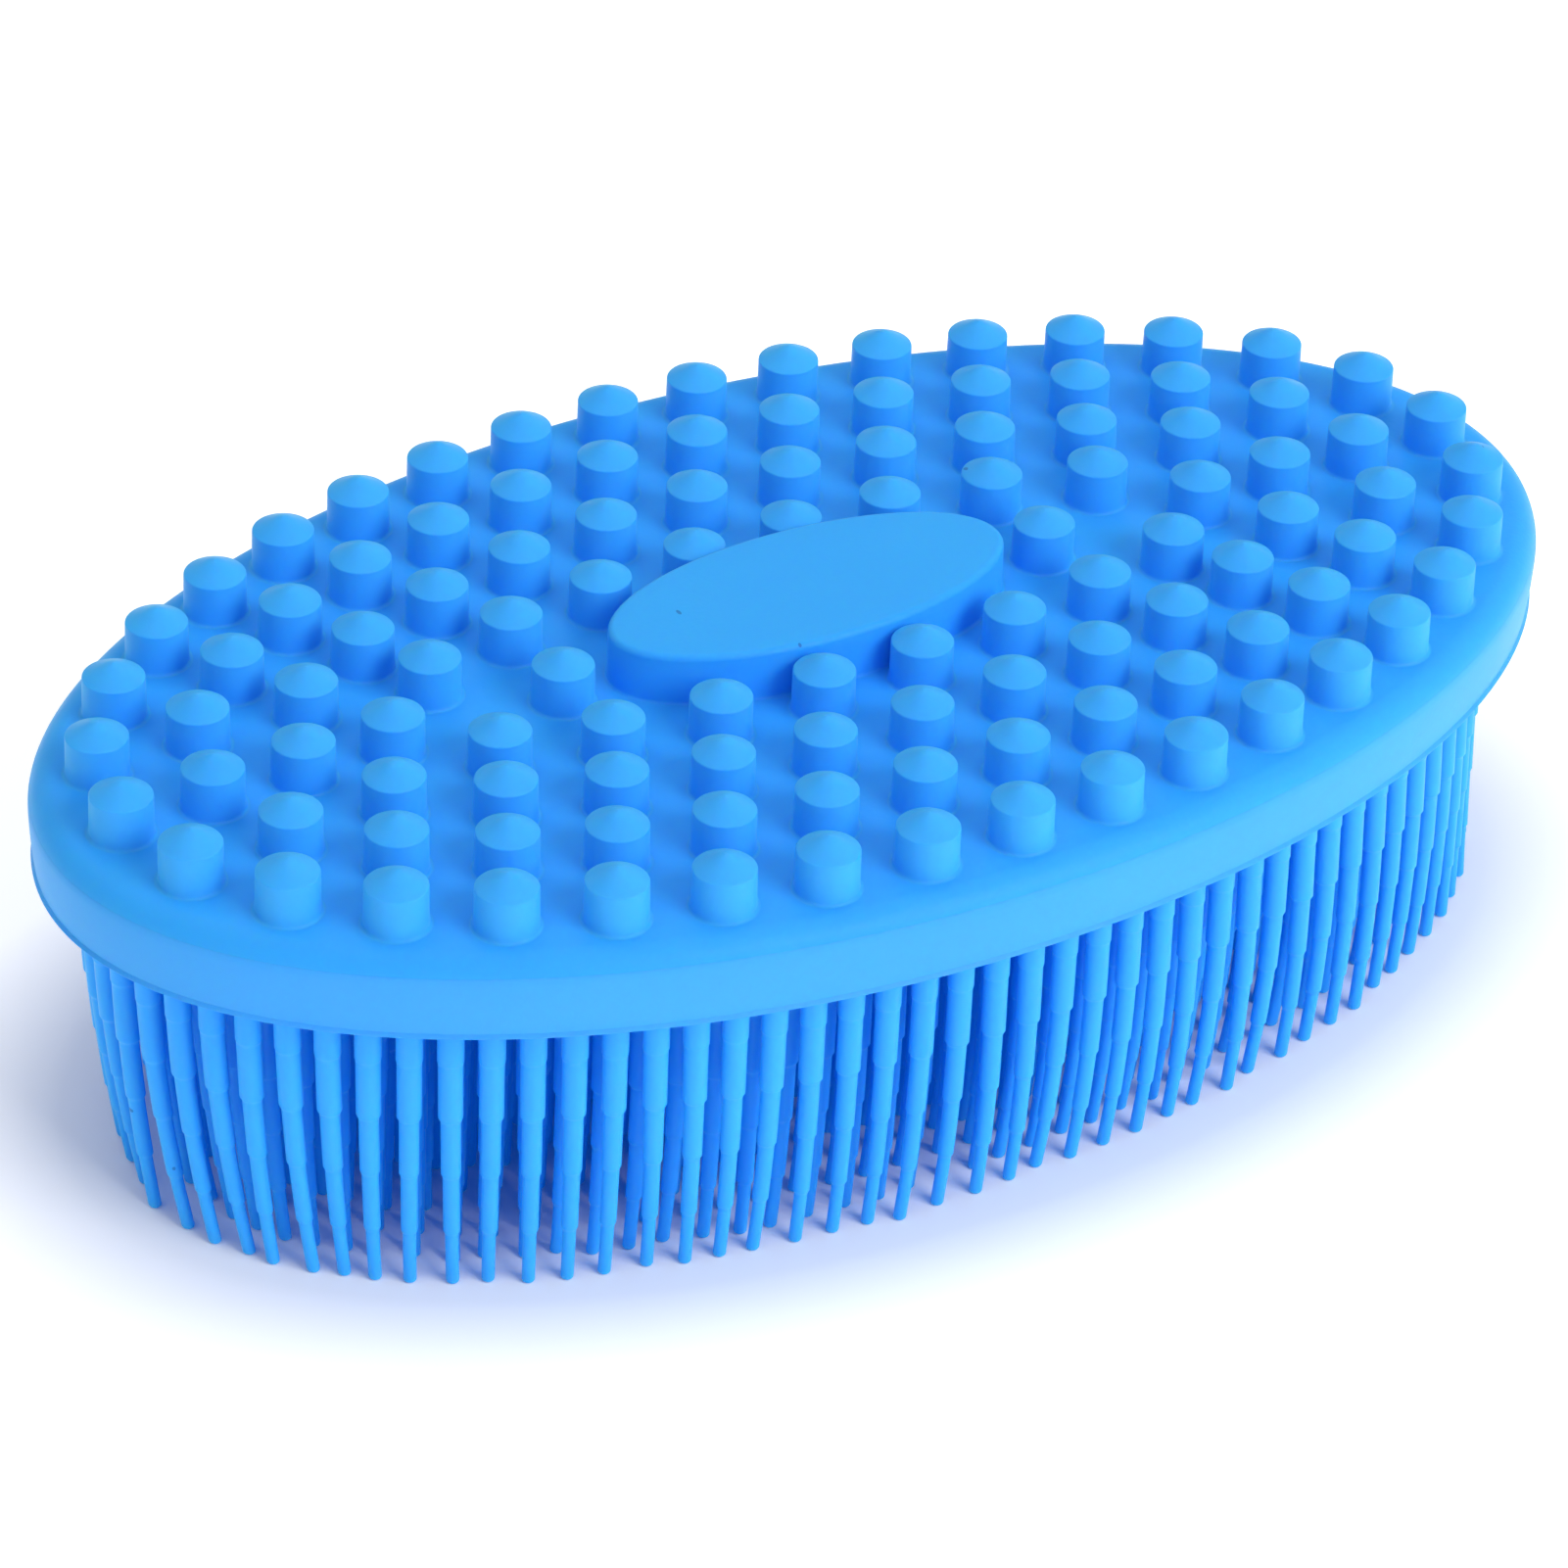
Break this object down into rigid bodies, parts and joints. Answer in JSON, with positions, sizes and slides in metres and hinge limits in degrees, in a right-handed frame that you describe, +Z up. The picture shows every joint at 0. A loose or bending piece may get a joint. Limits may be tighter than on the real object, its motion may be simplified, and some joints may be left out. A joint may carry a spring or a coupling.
{
  "type": "rubber curry brush",
  "caption": "Oval double-sided silicone curry brush with stepped bristles below and cone-topped massage nubs around a blank oval medallion above.",
  "frame": {"origin": "centre of the oval, in the plane of the bristle tips", "axes": "+X along the oval, +Z up from the bristle tips through the pad to the nubs"},
  "size_m": [0.125, 0.0712, 0.0359],
  "materials": {
    "blue_silicone": "satin moulded silicone, slightly translucent"
  },
  "bodies": {
    "root": {"nub_plate": "blue_silicone", "rim_band": "blue_silicone", "bristle_plate": "blue_silicone", "centre_medallion": "blue_silicone", "end_nubs": "blue_silicone", "nub_ring_1": "blue_silicone", "nub_ring_2": "blue_silicone", "nub_ring_3": "blue_silicone", "nub_ring_4": "blue_silicone", "bristle_ring_01": "blue_silicone", "bristle_ring_02": "blue_silicone", "bristle_ring_03": "blue_silicone", "bristle_ring_04": "blue_silicone", "bristle_ring_05": "blue_silicone", "bristle_ring_06": "blue_silicone", "bristle_ring_07": "blue_silicone", "bristle_ring_08": "blue_silicone", "bristle_ring_09": "blue_silicone", "bristle_ring_10": "blue_silicone", "bristle_ring_11": "blue_silicone", "bristle_centre_row": "blue_silicone"}
  },
  "joints": []
}
